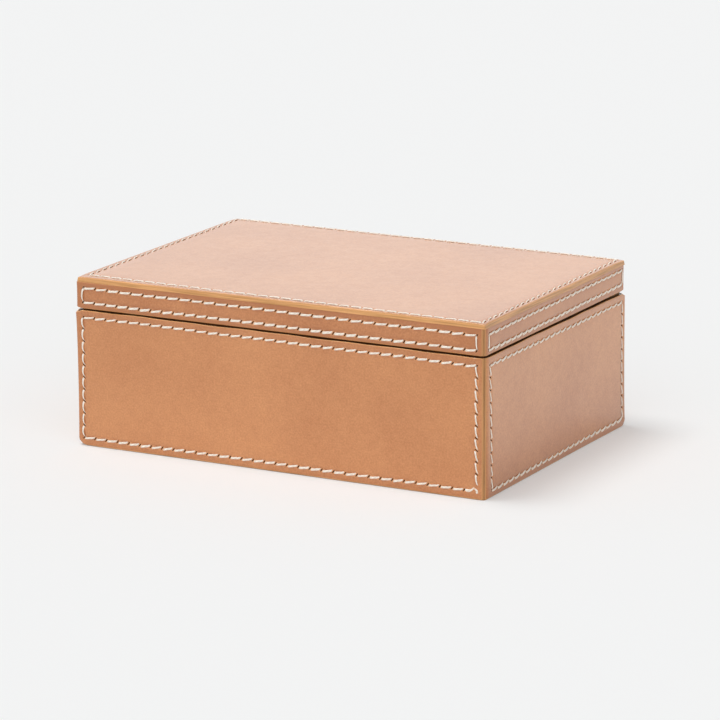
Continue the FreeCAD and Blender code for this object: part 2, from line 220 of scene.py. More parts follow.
def leather_material(name, colours, wax):
    """Smooth waxed leather; colours are its light and dark face, light and dark edge, and a dark edge colour,
    which paints shade in the gap and at the foot.
    """
    material, tree = new_material(name)
    face_light, face_dark, edge_light, edge_dark, dark_edge_colour = [colour(code) for code in colours]
    place = add(tree, "ShaderNodeTexCoord").outputs["Object"]
    # The attribute called tone carries each sheet's tone, with the hide's wear at the borders, painted light
    # on the body's right and back sheet, and painted shade in the stitch channels and towards that sheet's
    # foot.
    # Clouds, flecks and pores make the tone of the hide uneven.
    tone = add(tree, "ShaderNodeAttribute", {"attribute_name": "tone"}).outputs["Fac"]
    noises = {}
    for part, look in UNEVENNESS.items():
        noise = add(tree, "ShaderNodeTexNoise", None, {
            "Vector": place, "Scale": per_metre(look["size_mm"]), "Detail": look["detail"],
            "Roughness": look["roughness"]})
        change = add(tree, "ShaderNodeMapRange", None, {
            "Value": noise, **NOISE_SPAN, "To Min": -look["spread"], "To Max": look["spread"]})
        tone = add(tree, "ShaderNodeMath", {"operation": "ADD"}, {0: tone, 1: change})
        noises[part] = noise
    face = add(tree, "ShaderNodeMix", {"data_type": "RGBA"}, {0: tone, 6: face_light, 7: face_dark})
    # The layers of a raw edge are thin across its depth and long along it.
    depth = add(tree, "ShaderNodeAttribute", {"attribute_name": "depth"})
    layer_count = add(tree, "ShaderNodeMath", {"operation": "MULTIPLY"},
                      {0: depth.outputs["Fac"], 1: per_metre(LAYER_MM)})
    layer_place = add(tree, "ShaderNodeCombineXYZ", None, {2: layer_count})
    drift = add(tree, "ShaderNodeVectorMath", {"operation": "MULTIPLY_ADD"},
                {0: place, 1: [per_metre(LAYER_RUN_MM)] * 3, 2: layer_place})
    layers = add(tree, "ShaderNodeTexNoise", None, {"Vector": drift, "Scale": 1.0, "Detail": 2.0})
    layer = add(tree, "ShaderNodeMapRange", None, {"Value": layers, "From Min": 0.35, "From Max": 0.65})
    edge_tone = add(tree, "ShaderNodeMix", {"data_type": "RGBA"},
                    {0: layer, 6: edge_light, 7: edge_dark})
    # From 0 to 1 the attribute called raw turns face to edge, and from 1 to 2 edge to the dark edge colour:
    # painted shade in the gap under the lid, at the foot and on the plate's short sides, and a darker seam.
    raw = add(tree, "ShaderNodeAttribute", {"attribute_name": "raw"})
    cut = add(tree, "ShaderNodeMath", {"operation": "MINIMUM"}, {0: raw.outputs["Fac"], 1: 1.0})
    darkening = add(tree, "ShaderNodeMath", {"operation": "SUBTRACT", "use_clamp": True},
                {0: raw.outputs["Fac"], 1: 1.0})
    edged = add(tree, "ShaderNodeMix", {"data_type": "RGBA"},
                {0: cut, 6: face.outputs[2], 7: edge_tone.outputs[2]})
    skin = add(tree, "ShaderNodeMix", {"data_type": "RGBA"},
               {0: darkening, 6: edged.outputs[2], 7: dark_edge_colour})
    bump = add(tree, "ShaderNodeBump", None,
               {"Height": noises["pores"], "Strength": 0.10, "Distance": PORE_RELIEF})
    polish = add(tree, "ShaderNodeMapRange", None,
                 {"Value": cut, "To Min": wax, "To Max": EDGE_WAX * wax})
    gloss = add(tree, "ShaderNodeMapRange", None,
                {"Value": noises["flecks"], **NOISE_SPAN, "To Min": 0.35, "To Max": 0.40})
    shade = add(tree, "ShaderNodeBsdfPrincipled", None, {
        "Base Color": skin.outputs[2], "Roughness": gloss, "IOR": 1.5,
        "Specular IOR Level": 0.5 * wax, "Coat Weight": polish, "Coat Roughness": 0.22,
        "Coat IOR": 1.5, "Normal": bump})
    add(tree, "ShaderNodeOutputMaterial", None, {"Surface": shade})
    return material


tan_leather = leather_material(
    "vegetable_tanned_leather", ("DC955A", "B66D34", "EAAC6C", "C08748", "5C3A20"), wax=1.0)
# The rims are coloured dark, as painted shade in the gap between lid and body.
rim_leather = leather_material(
    "burnished_rim_leather", ("6C4127", "5A3520", "6C4127", "5A3520", "5A3520"), wax=0.0)
print("materials:", tan_leather.name, rim_leather.name)

# %% [markdown]
# ## Waxed linen thread
# Saddle stitches are sewn with thick linen thread that is drawn through beeswax. It is cream, not quite
# matt, and twisted from plies that show as slanting ridges. Each stitch carries an attribute that says where
# a point is along and around the thread, and the ridges are a sine of the two. The awl's holes get a fibrous
# inside painted dark, as painted shade in the holes.

# %% Thread and hole materials
PLIES = 2.0
# The ridges of real thread lie closer together. They are drawn coarser here, so that they show.
RIDGE_MM = 2.9
PLY_RELIEF = 0.08 * MM
HOLE_FIBRE_MM = 0.5


def thread_material(name, light, dark):
    """Twisted thread; the attribute holds the cosine and sine around the thread and the place along it."""
    material, tree = new_material(name)
    place = add(tree, "ShaderNodeAttribute", {"attribute_name": "twist"}).outputs["Vector"]
    axes = add(tree, "ShaderNodeSeparateXYZ", None, {0: place})
    around = add(tree, "ShaderNodeMath", {"operation": "ARCTAN2"}, {0: axes.outputs[1], 1: axes})
    plies = add(tree, "ShaderNodeMath", {"operation": "MULTIPLY"}, {0: around, 1: PLIES})
    phase = add(tree, "ShaderNodeMath", {"operation": "MULTIPLY_ADD"},
                {0: axes.outputs[2], 1: 2 * math.pi * per_metre(RIDGE_MM), 2: plies})
    ridge = add(tree, "ShaderNodeMath", {"operation": "SINE"}, {0: phase})
    shadow = add(tree, "ShaderNodeMapRange", None,
                 {"Value": ridge, "From Min": -1.0, "From Max": 0.4, "To Min": 1.0, "To Max": 0.0})
    tone = add(tree, "ShaderNodeMix", {"data_type": "RGBA"},
               {0: shadow, 6: colour(light), 7: colour(dark)})
    bump = add(tree, "ShaderNodeBump", None, {"Height": ridge, "Strength": 0.5, "Distance": PLY_RELIEF})
    shade = add(tree, "ShaderNodeBsdfPrincipled", None,
                {"Base Color": tone.outputs[2], "Roughness": 0.62, "IOR": 1.46, "Normal": bump})
    add(tree, "ShaderNodeOutputMaterial", None, {"Surface": shade})
    return material


linen_thread = thread_material("waxed_linen_thread", "FAF3E8", "EDE0CE")

awl_hole, tree = new_material("awl_hole_in_leather")
place = add(tree, "ShaderNodeTexCoord").outputs["Object"]
fibres = add(tree, "ShaderNodeTexNoise", None, {"Vector": place, "Scale": per_metre(HOLE_FIBRE_MM)})
# The inside of a hole is painted dark, as painted shade.
dark = add(tree, "ShaderNodeMix", {"data_type": "RGBA"},
           {0: fibres, 6: colour("5A3A22"), 7: colour("33200F")})
shade = add(tree, "ShaderNodeBsdfPrincipled", None, {"Base Color": dark.outputs[2], "Roughness": 0.9})
add(tree, "ShaderNodeOutputMaterial", None, {"Surface": shade})
print("materials:", linen_thread.name, awl_hole.name)

# %% [markdown]
# ## Suede and fibreboard
# The inside is lined with split suede, whose brushed nap is matt, a little cloudy and paler at low angles,
# which is what sheen is for. The core is sanded fibreboard: pale, even, with short fibres. The fibres of both
# are drawn coarser than real ones, so that they show.

# %% Suede and board materials
CLOUD_SHARE = 0.6


def fibrous_material(name, light, dark, cloud_mm, fibre_mm, relief_mm, sheen):
    """A matt material with clouds and short fibres."""
    material, tree = new_material(name)
    place = add(tree, "ShaderNodeTexCoord").outputs["Object"]
    clouds = add(tree, "ShaderNodeTexNoise", None,
                 {"Vector": place, "Scale": per_metre(cloud_mm), "Detail": 2.0})
    fibres = add(tree, "ShaderNodeTexNoise", None,
                 {"Vector": place, "Scale": per_metre(fibre_mm), "Detail": 4.0, "Roughness": 0.7})
    both = add(tree, "ShaderNodeMath", {"operation": "MULTIPLY_ADD"},
               {0: clouds, 1: CLOUD_SHARE, 2: fibres})
    tone = add(tree, "ShaderNodeMapRange", None, {"Value": both, "From Min": 0.5, "From Max": 1.1})
    face = add(tree, "ShaderNodeMix", {"data_type": "RGBA"},
               {0: tone, 6: colour(light), 7: colour(dark)})
    bump = add(tree, "ShaderNodeBump", None,
               {"Height": fibres, "Strength": 0.5, "Distance": relief_mm * MM})
    shade = add(tree, "ShaderNodeBsdfPrincipled", None, {
        "Base Color": face.outputs[2], "Roughness": 0.95, "Specular IOR Level": 0.2,
        "Sheen Weight": sheen, "Sheen Roughness": 0.5, "Normal": bump})
    add(tree, "ShaderNodeOutputMaterial", None, {"Surface": shade})
    return material


suede = fibrous_material(
    "split_suede", "C2A284", "A88868", cloud_mm=26, fibre_mm=1.2, relief_mm=0.3, sheen=0.35)
fibreboard = fibrous_material(
    "sanded_fibreboard", "C8A67A", "B08D62", cloud_mm=18, fibre_mm=0.8, relief_mm=0.1, sheen=0.0)
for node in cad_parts.values():
    node.data.materials.clear()
    node.data.materials.append(fibreboard)
print("materials:", suede.name, fibreboard.name)

# %% [markdown]
# ## Rows of stitching
# A row is a straight line on the flat sheet, from its first hole to its last. It has a pitch, the wanted
# length of a stitch, and a lean, by which each stitch turns out of the row. Four rows make the rectangle on
# a side of the box. Its corners are given as insets from the side's own corners, because a row marked by
# hand drifts a little. The upright rows are columns. Their thread is drawn tight, or left slack so that it
# bows to one side, and it is thinner than that of the rows.

# %% Rows
ROW, SLACK, TIGHT = range(3)
COLUMN_FULLNESS = 0.74


def row(start, end, pitch, lean, kind=ROW, fullness=1.0):
    """One row of stitches; start and end are points on the flat sheet."""
    return {"start": Vector(start), "end": Vector(end), "pitch": pitch, "lean": math.radians(lean),
            "kind": kind, "fullness": fullness}


def stitched_rectangle(left, right, low, high, sewing):
    """Four rows inside a side; the insets are those of its corners, from the low left one anticlockwise."""
    edges = ((left, low), (right, low), (right, high), (left, high))
    signs = ((1, 1), (-1, 1), (-1, -1), (1, -1))
    corners = [Vector((edge[0] + sign[0] * inset[0] * MM, edge[1] + sign[1] * inset[1] * MM))
               for edge, sign, inset in zip(edges, signs, sewing["insets"])]
    low_pitch, high_pitch, column_pitch = [pitch * MM for pitch in sewing["pitches"]]
    full = sewing["fullness"]
    rows = [row(corners[0], corners[1], low_pitch, sewing["lean"], ROW, full),
            row(corners[3], corners[2], high_pitch, sewing["lean"], ROW, full)]
    for foot, head, (kind, lean) in zip(corners[:2], (corners[3], corners[2]), sewing["columns"]):
        rows.append(row(foot, head, column_pitch, lean, kind, full * COLUMN_FULLNESS))
    return rows


def distance_to_row(place, line):
    """Distance on the flat sheet from a point to a row."""
    along = line["end"] - line["start"]
    share = max(0.0, min(1.0, (place - line["start"]).dot(along) / along.length_squared))
    return (place - line["start"] - along * share).length


print("a column's thread is", COLUMN_FULLNESS, "times as thick as a row's")

# %% [markdown]
# ## A sheet of leather, cut flat
# A sheet could be a box with a bevel, but then it would have no room for the dents of the stitching. So it
# is a grid. The grid lines stand close at the edges and along the rows, and far apart elsewhere. Each line
# knows how deep it lies under the face, 0 on the face and down the edge to the back, and how raw the leather
# is there. A cut edge is a quarter round. A seam edge turns an eighth of a circle, because two such edges
# make one rounded corner of the box. It ends in half of a small groove, with a mitre of 45 degrees behind.

# %% Edges of a flat sheet
LEATHER = 2.5 * MM
EDGE_SHADE = 0.3 * MM
ROUND_STEPS = 5
SEAM_ROUND = 4.2 * MM
SEAM_GROOVE = 0.9 * MM
SEAM_GAP = 0.05 * MM
SEAM_TURNS = (42, 36, 30, 24, 18, 12, 6, 0)
SEAM_RAW_FROM = 29
SEAM_RAW_TURNS = 7
SEAM_RAWNESS = 1.34


def cut_edge(thick, radius, rawness, back_rawness, hold=1.0):
    """Lines of (inset, depth, rawness) from a cut edge's back to its face; hold keeps it raw for longer."""
    lines = [(0.0, -thick, back_rawness), (0.0, -radius - EDGE_SHADE, back_rawness)]
    for step in range(ROUND_STEPS + 1):
        angle = math.pi / 2 * step / ROUND_STEPS
        fade = min(1.0, hold * math.cos(angle))
        lines.append((radius * (1 - math.cos(angle)), radius * (math.sin(angle) - 1), rawness * fade))
    return lines


def seam_edge(thick):
    """Lines from the back of a seam edge, up the mitre and the groove and round to the face."""
    lines = [(SEAM_GAP + deep, -deep, SEAM_RAWNESS) for deep in (thick, SEAM_GROOVE)]
    for turn in SEAM_TURNS:
        angle = math.radians(turn)
        rawness = SEAM_RAWNESS * min(1.0, max(0.0, (turn - SEAM_RAW_FROM) / SEAM_RAW_TURNS))
        lines.append((SEAM_ROUND * (1 - math.sin(angle)), SEAM_ROUND * (math.cos(angle) - 1), rawness))
    return lines


print("seam edge:", len(seam_edge(LEATHER)), "lines")

# %% Grid lines between the edges
COARSE_LINE = 6 * MM
FINE_LINE = 0.45 * MM
DENT_REACH = 1.8 * MM


def lines_between(low, high, bands):
    """Places for grid lines: close together inside the bands and far apart elsewhere."""
    places = []
    place = low
    while True:
        inside = any(start <= place < end for start, end in bands)
        starts = [start for start, end in bands if start > place]
        place = place + FINE_LINE if inside else min([place + COARSE_LINE] + starts)
        if place > high - FINE_LINE / 2:
            return places
        places.append(place)


def grid_lines(total, first, last, bands):
    """All grid lines of a sheet from one edge to the other."""
    far = [(total - inset, depth, rawness) for inset, depth, rawness in reversed(last)]
    middle = lines_between(first[-1][0], far[0][0], bands)
    return first + [(place, 0.0, 0.0) for place in middle] + far


def bands_of(rows, axis):
    """The bands that rows cross along one axis, with room for their dents."""
    crossing = [line for line in rows if (line["kind"] != ROW) == (axis == 0)]
    ends = [sorted((line["start"][axis], line["end"][axis])) for line in crossing]
    return [(low - DENT_REACH, high + DENT_REACH) for low, high in ends]


print("grid lines every", COARSE_LINE / MM, "mm, and at a row every", FINE_LINE / MM, "mm")

# %% [markdown]
# ## Dents along the stitching
# Pulled thread sinks into the leather, so each row lies in a soft shallow channel. Its depth falls off with
# the distance to the row. The channel is painted a little darker, as painted shade, and the hide darkens at
# the border, where it is handled and rubbed. A sheet can also be painted darker towards its low edge, as
# painted shade. The sheet carries the attributes that the leather reads: raw, depth and tone.

# %% Build a flat sheet
CHANNEL_DEPTH = 0.34 * MM
CHANNEL_WIDTH = 1.05 * MM
CHANNEL_PAINTED_SHADE = 0.5
BORDER = 3.6 * MM
BORDER_TONE = 0.35
FOOT_SHADE = 24 * MM
PLAIN_TONES = (0.4, 0.0)
MERGE = 0.002 * MM


def cleaned(mesh):
    """The mesh with its doubles merged and its faces pointing outwards."""
    shell = bmesh.new()
    shell.from_mesh(mesh)
    bmesh.ops.remove_doubles(shell, verts=shell.verts, dist=MERGE)
    bmesh.ops.dissolve_degenerate(shell, edges=shell.edges, dist=MERGE)
    bmesh.ops.recalc_face_normals(shell, faces=shell.faces)
    shell.to_mesh(mesh)
    shell.free()
    return mesh


def flat_sheet(columns, levels, rows, material, tones=PLAIN_TONES, seams=False, fold=None):
    """A closed sheet in the XY plane, its face up at Z = 0; columns and levels are grid lines.

    The two tones are how dark the hide is and how much painted shade darkens it towards its low edge. A
    sheet with seams has a mitre at both ends, and fold is the place where it will turn a corner.
    """
    tone, foot_painted_shade = tones
    total = columns[0][0] + columns[-1][0]
    tall = levels[0][0] + levels[-1][0]
    vertices = []
    raws = []
    depths = []
    shades = []
    for across, column_depth, column_raw in columns:
        for rise, level_depth, level_raw in levels:
            depth = min(column_depth, level_depth)
            raws.append(max(column_raw, level_raw))
            depths.append(-depth)
            border = min(across, total - across, rise, tall - rise, abs(across - fold) if fold else total)
            # Painted shade, darker towards the low edge.
            foot = foot_painted_shade * math.exp(-(rise / FOOT_SHADE) ** 2)
            shades.append(tone + foot + BORDER_TONE * math.exp(-(border / BORDER) ** 2))
            # A seam edge keeps to its own side of the mitre.
            room = SEAM_GAP - depth if seams else 0.0
            spot = Vector((max(room, min(total - room, across)), rise))
            if rows and raws[-1] == 0.0:
                gap = min(distance_to_row(spot, line) for line in rows)
                pulled = math.exp(-(gap / CHANNEL_WIDTH) ** 2)
                depth -= CHANNEL_DEPTH * pulled
                # The channel is painted darker, as painted shade.
                shades[-1] += CHANNEL_PAINTED_SHADE * pulled
            vertices.append((*spot, depth))
    wide = len(columns)
    high = len(levels)
    faces = []
    for i in range(wide - 1):
        for j in range(high - 1):
            corner = i * high + j
            faces.append((corner, corner + high, corner + high + 1, corner + 1))
    for i in range(wide - 1):
        here = [i * high + j for j in range(high)]
        there = [(i + 1) * high + j for j in range(high)]
        left = here if i == 0 else [here[0], here[-1]]
        right = there if i == wide - 2 else [there[0], there[-1]]
        faces.append(tuple(left + right[::-1]))
    mesh = bpy.data.meshes.new("sheet")
    mesh.from_pydata(vertices, [], faces)
    for name, values in (("raw", raws), ("depth", depths), ("tone", shades)):
        mesh.attributes.new(name, "FLOAT", "POINT").data.foreach_set("value", values)
    mesh.materials.append(material)
    return cleaned(mesh)


print("channel:", CHANNEL_DEPTH / MM, "mm deep")

# %% [markdown]
# ## Punching and sewing with Geometry Nodes
# Holes and stitches repeat along rows, so two small node trees make them. Both take a mesh of straight
# lines, one for each row, divide a line into as many steps as its pitch asks for, and let it wander a little,
# like a row pricked by eye. The first tree sets an awl's blade at each division and cuts it out of the sheet.
# The second lays one stitch from each hole to the next.

# %% What both trees share
WANDER = 1.1 * MM
WANDER_RUN_MM = 45


def new_tree(name, inputs):
    """A geometry tree with named inputs; returns the tree, its input node and the sockets' identifiers."""
    tree = bpy.data.node_groups.new(name, "GeometryNodeTree")
    identifiers = {}
    for label, kind in inputs:
        identifiers[label] = tree.interface.new_socket(label, in_out="INPUT", socket_type=kind).identifier
    tree.interface.new_socket("Geometry", in_out="OUTPUT", socket_type="NodeSocketGeometry")
    return tree, add(tree, "NodeGroupInput"), identifiers


def divided_rows(tree, rows):
    """Nodes that divide each line into a whole number of pitches and let it wander; returns the last."""
    curve = add(tree, "GeometryNodeMeshToCurve", None, {"Mesh": rows})
    length = add(tree, "GeometryNodeSplineLength")
    pitch = add(tree, "GeometryNodeInputNamedAttribute", {"data_type": "FLOAT"}, {"Name": "pitch"})
    ratio = add(tree, "ShaderNodeMath", {"operation": "DIVIDE"}, {0: length, 1: pitch})
    steps = add(tree, "ShaderNodeMath", {"operation": "ROUND"}, {0: ratio})
    points = add(tree, "ShaderNodeMath", {"operation": "ADD"}, {0: steps, 1: 1.0})
    spaced = add(tree, "GeometryNodeResampleCurve", None, {"Curve": curve, "Count": points})
    place = add(tree, "GeometryNodeInputPosition")
    drift = add(tree, "ShaderNodeTexNoise", None,
                {"Vector": place, "Scale": per_metre(WANDER_RUN_MM), "Detail": 1.0})
    aside = add(tree, "ShaderNodeVectorMath", {"operation": "SUBTRACT"},
                {0: drift.outputs["Color"], 1: (0.5, 0.5, 0.5)})
    offset = add(tree, "ShaderNodeVectorMath", {"operation": "MULTIPLY"},
                 {0: aside, 1: (WANDER, WANDER, 0.0)})
    wandering = add(tree, "GeometryNodeSetPosition", None, {"Geometry": spaced, "Offset": offset})
    return wandering


def along_row(tree):
    """Nodes that turn local X into the direction of the row, about Z."""
    tangent = add(tree, "GeometryNodeInputTangent")
    turn = add(tree, "FunctionNodeAlignRotationToVector", {"axis": "X", "pivot_axis": "Z"},
               {"Vector": tangent})
    return turn


print("rows wander by", WANDER / MM, "mm")

# %% Tree that punches the holes
SLIT_LONG = 2.4 * MM
SLIT_WIDE = 0.62 * MM
SLIT_DEEP = 1.3 * MM
SLIT_SLANT = math.radians(52)
BLADE_SIDES = 8

punch_tree, source, punch_ids = new_tree("awl_punch", [
    ("Geometry", "NodeSocketGeometry"), ("Rows", "NodeSocketObject"), ("Slit Length", "NodeSocketFloat"),
    ("Slit Width", "NodeSocketFloat"), ("Slit Depth", "NodeSocketFloat"), ("Hole", "NodeSocketMaterial")])
row_mesh = add(punch_tree, "GeometryNodeObjectInfo", None, {"Object": source.outputs["Rows"]})
spots = divided_rows(punch_tree, row_mesh.outputs["Geometry"])
# The blade is 1 across, and reaches as far above the face as below it, before it gets its size.
blade = add(punch_tree, "GeometryNodeMeshCylinder", {"fill_type": "NGON"},
            {"Vertices": BLADE_SIDES, "Radius": 0.5, "Depth": 2.0})
size = add(punch_tree, "ShaderNodeCombineXYZ", None, {
    0: source.outputs["Slit Length"], 1: source.outputs["Slit Width"], 2: source.outputs["Slit Depth"]})
shaped = add(punch_tree, "GeometryNodeTransform", None,
             {"Geometry": blade.outputs["Mesh"], "Scale": size, "Rotation": (0, 0, SLIT_SLANT)})
# The blade's faces carry a mark, by which the faces that they leave in the sheet are found again.
marked = add(punch_tree, "GeometryNodeStoreNamedAttribute", {"data_type": "FLOAT", "domain": "FACE"},
             {"Geometry": shaped, "Name": "slit", "Value": 1.0})
# A column shares its end holes with the rows that it meets, so its own ends are left out.
column = add(punch_tree, "GeometryNodeInputNamedAttribute", {"data_type": "FLOAT"}, {"Name": "kind"})
row_end = add(punch_tree, "GeometryNodeCurveEndpointSelection", None, {"Start Size": 1, "End Size": 1})
shared = add(punch_tree, "FunctionNodeBooleanMath", {"operation": "AND"}, {0: column, 1: row_end})
own = add(punch_tree, "FunctionNodeBooleanMath", {"operation": "NOT"}, {0: shared})
blades = add(punch_tree, "GeometryNodeInstanceOnPoints", None, {
    "Points": spots, "Selection": own, "Instance": marked, "Rotation": along_row(punch_tree)})
whole = add(punch_tree, "GeometryNodeRealizeInstances", None, {"Geometry": blades})
cut = add(punch_tree, "GeometryNodeMeshBoolean", {"operation": "DIFFERENCE", "solver": "MANIFOLD"},
          {"Mesh 1": source.outputs["Geometry"], "Mesh 2": whole})
slit = add(punch_tree, "GeometryNodeInputNamedAttribute", {"data_type": "FLOAT"}, {"Name": "slit"})
stained = add(punch_tree, "GeometryNodeSetMaterial", None, {
    "Geometry": cut, "Selection": slit, "Material": source.outputs["Hole"]})
add(punch_tree, "NodeGroupOutput", None, {0: stained})
print("tree:", punch_tree.name, "with", len(punch_tree.nodes), "nodes")

# %% [markdown]
# ## One stitch
# A stitch is a short length of thread: a tube along X with eight sides whose ends dive into their holes.
# Its ends are slanted like the slits. There are three kinds, because the thread bows less or more. The sewing
# tree repeats them along the rows, with a little difference in length, fullness and direction.

# %% Model one stitch
def swept_faces(rings, sides):
    """The faces of a closed outline that is swept through some rings, with both ends closed."""
    faces = [tuple(range(sides)), tuple(range((rings - 1) * sides, rings * sides))]
    for ring in range(rings - 1):
        for side in range(sides):
            here = ring * sides + side
            beside = ring * sides + (side + 1) % sides
            faces.append((here, beside, beside + sides, here + sides))
    return faces


STITCH_SIDES = 8
STITCH_RINGS = 9
NOMINAL_PITCH = 6.45 * MM
THREAD_WIDE = 1.08 * MM
THREAD_HIGH = 0.85 * MM
THREAD_RISE = 0.06 * MM
THREAD_DIVE = 1.15 * MM
DIVE_POWER = 9
END_SLANT = 0.7
REACH = 0.91
STITCH_BOWS = {"Row Stitch": -0.08 * MM, "Slack Stitch": 0.85 * MM, "Tight Stitch": 0.2 * MM}


def one_stitch(bow):
    """A stitch's mesh; the attribute called twist says where a point is around and along the thread."""
    vertices = []
    twist = []
    for ring in range(STITCH_RINGS):
        share = math.sin(math.pi * (ring / (STITCH_RINGS - 1) - 0.5))
        level = THREAD_RISE - THREAD_DIVE * abs(share) ** DIVE_POWER
        for side in range(STITCH_SIDES):
            turn = 2 * math.pi * side / STITCH_SIDES
            sideways = THREAD_WIDE / 2 * math.cos(turn)
            along = share * REACH * NOMINAL_PITCH / 2 + END_SLANT * sideways
            aside = sideways + bow * (1 - share ** 2)
            vertices.append((along, aside, level + THREAD_HIGH / 2 * math.sin(turn)))
            twist += [math.cos(turn), math.sin(turn), along]
    mesh = bpy.data.meshes.new("stitch")
    mesh.from_pydata(vertices, [], swept_faces(STITCH_RINGS, STITCH_SIDES))
    mesh.attributes.new("twist", "FLOAT_VECTOR", "POINT").data.foreach_set("vector", twist)
    return cleaned(mesh)


stitch_meshes = {label: one_stitch(bow) for label, bow in STITCH_BOWS.items()}
print("one stitch:", len(stitch_meshes["Row Stitch"].polygons), "faces")

# %% Tree that sews the stitches
LEAST_STITCH = (0.95, 0.88, 0.85)
MOST_STITCH = (1.01, 1.1, 1.05)
SWAY = math.radians(3)

sew_tree, source, sew_ids = new_tree("saddle_stitch", [
    ("Geometry", "NodeSocketGeometry"), *[(label, "NodeSocketObject") for label in STITCH_BOWS],
    ("Pitch", "NodeSocketFloat"), ("Seed", "NodeSocketInt"), ("Thread", "NodeSocketMaterial")])
spots = divided_rows(sew_tree, source.outputs["Geometry"])
spline = add(sew_tree, "GeometryNodeSplineLength")
gaps = add(sew_tree, "ShaderNodeMath", {"operation": "SUBTRACT"}, {0: spline.outputs["Point Count"], 1: 1.0})
step = add(sew_tree, "ShaderNodeMath", {"operation": "DIVIDE"}, {0: spline.outputs["Length"], 1: gaps})
half = add(sew_tree, "ShaderNodeMath", {"operation": "MULTIPLY"}, {0: step, 1: 0.5})
tangent = add(sew_tree, "GeometryNodeInputTangent")
half_step = add(sew_tree, "ShaderNodeVectorMath", {"operation": "SCALE"}, {0: tangent, "Scale": half})
# Each point moves from its hole to the middle of the step, where a stitch is set.
middles = add(sew_tree, "GeometryNodeSetPosition", None, {"Geometry": spots, "Offset": half_step})
ratio = add(sew_tree, "ShaderNodeMath", {"operation": "DIVIDE"}, {0: step, 1: source.outputs["Pitch"]})
full = add(sew_tree, "GeometryNodeInputNamedAttribute", {"data_type": "FLOAT"}, {"Name": "fullness"})
stretch = add(sew_tree, "ShaderNodeCombineXYZ", None, {0: ratio, 1: full, 2: full})
uneven = add(sew_tree, "FunctionNodeRandomValue", {"data_type": "FLOAT_VECTOR"},
             {0: LEAST_STITCH, 1: MOST_STITCH, "Seed": source.outputs["Seed"]})
scaled = add(sew_tree, "ShaderNodeVectorMath", {"operation": "MULTIPLY"}, {0: stretch, 1: uneven})
lean = add(sew_tree, "GeometryNodeInputNamedAttribute", {"data_type": "FLOAT"}, {"Name": "lean"})
sway = add(sew_tree, "FunctionNodeRandomValue", {"data_type": "FLOAT"},
           {2: -SWAY, 3: SWAY, "Seed": source.outputs["Seed"]})
swing = add(sew_tree, "ShaderNodeMath", {"operation": "ADD"}, {0: lean, 1: sway.outputs[1]})
swing_turn = add(sew_tree, "ShaderNodeCombineXYZ", None, {2: swing})
turned = add(sew_tree, "FunctionNodeRotateRotation", {"rotation_space": "LOCAL"},
             {"Rotation": along_row(sew_tree), "Rotate By": swing_turn})
last = add(sew_tree, "GeometryNodeCurveEndpointSelection", None, {"Start Size": 0, "End Size": 1})
not_last = add(sew_tree, "FunctionNodeBooleanMath", {"operation": "NOT"}, {0: last})
# The attribute called kind says which of the stitches a row takes.
row_kind = add(sew_tree, "GeometryNodeInputNamedAttribute", {"data_type": "FLOAT"}, {"Name": "kind"})
all_kinds = add(sew_tree, "GeometryNodeJoinGeometry")
for kind, label in enumerate(STITCH_BOWS):
    stitch = add(sew_tree, "GeometryNodeObjectInfo", None, {"Object": source.outputs[label]})
    chosen = add(sew_tree, "FunctionNodeCompare", {"operation": "EQUAL"}, {0: row_kind, 1: float(kind)})
    here = add(sew_tree, "FunctionNodeBooleanMath", {"operation": "AND"}, {0: not_last, 1: chosen})
    laid = add(sew_tree, "GeometryNodeInstanceOnPoints", None, {
        "Points": middles, "Selection": here, "Instance": stitch.outputs["Geometry"],
        "Rotation": turned, "Scale": scaled})
    sew_tree.links.new(laid.outputs[0], all_kinds.inputs[0])
sewn = add(sew_tree, "GeometryNodeRealizeInstances", None, {"Geometry": all_kinds})
dyed = add(sew_tree, "GeometryNodeSetMaterial", None,
           {"Geometry": sewn, "Material": source.outputs["Thread"]})
add(sew_tree, "NodeGroupOutput", None, {0: dyed})
print("tree:", sew_tree.name, "with", len(sew_tree.nodes), "nodes")

# %% [markdown]
# ## From tree to plain mesh
# A piece that leaves this script is a plain mesh, so a tree runs once on a helper object. Its result is
# copied, and the helper is thrown away. Then the flat mesh is bent into its place on the box.

# %% Run a tree and place a piece
SHARP_ANGLE = math.radians(40)


def run_tree(mesh, tree, settings):
    """The mesh that a tree makes of a mesh."""
    helper = bpy.data.objects.new("helper", mesh)
    scene.collection.objects.link(helper)
    modifier = helper.modifiers.new("nodes", "NODES")
    modifier.node_group = tree
    for identifier, setting in settings.items():
        modifier[identifier] = setting
    depsgraph = bpy.context.evaluated_depsgraph_get()
    made = bpy.data.meshes.new_from_object(
        helper.evaluated_get(depsgraph), preserve_all_data_layers=True, depsgraph=depsgraph)
    helper.modifiers.remove(modifier)
    bpy.data.objects.remove(helper)
    return made


def row_lines(rows):
    """A mesh with one straight edge for each row, which carries what the trees read."""
    mesh = bpy.data.meshes.new("rows")
    points = [(*line[end], 0.0) for line in rows for end in ("start", "end")]
    mesh.from_pydata(points, [(2 * i, 2 * i + 1) for i in range(len(rows))], [])
    for name in ("pitch", "lean", "kind", "fullness"):
        values = [float(line[name]) for line in rows for end in range(2)]
        mesh.attributes.new(name, "FLOAT", "POINT").data.foreach_set("value", values)
    return mesh


def punched(sheet, rows, size=1.0):
    """The sheet with a slit at every hole of its rows; size is the awl's, against the one for the sides."""
    row_holder = bpy.data.objects.new("rows", row_lines(rows))
    scene.collection.objects.link(row_holder)
    made = run_tree(sheet, punch_tree, {
        punch_ids["Rows"]: row_holder, punch_ids["Slit Length"]: SLIT_LONG * size,
        punch_ids["Slit Width"]: SLIT_WIDE * size, punch_ids["Slit Depth"]: SLIT_DEEP,
        punch_ids["Hole"]: awl_hole})
    bpy.data.objects.remove(row_holder)
    return made


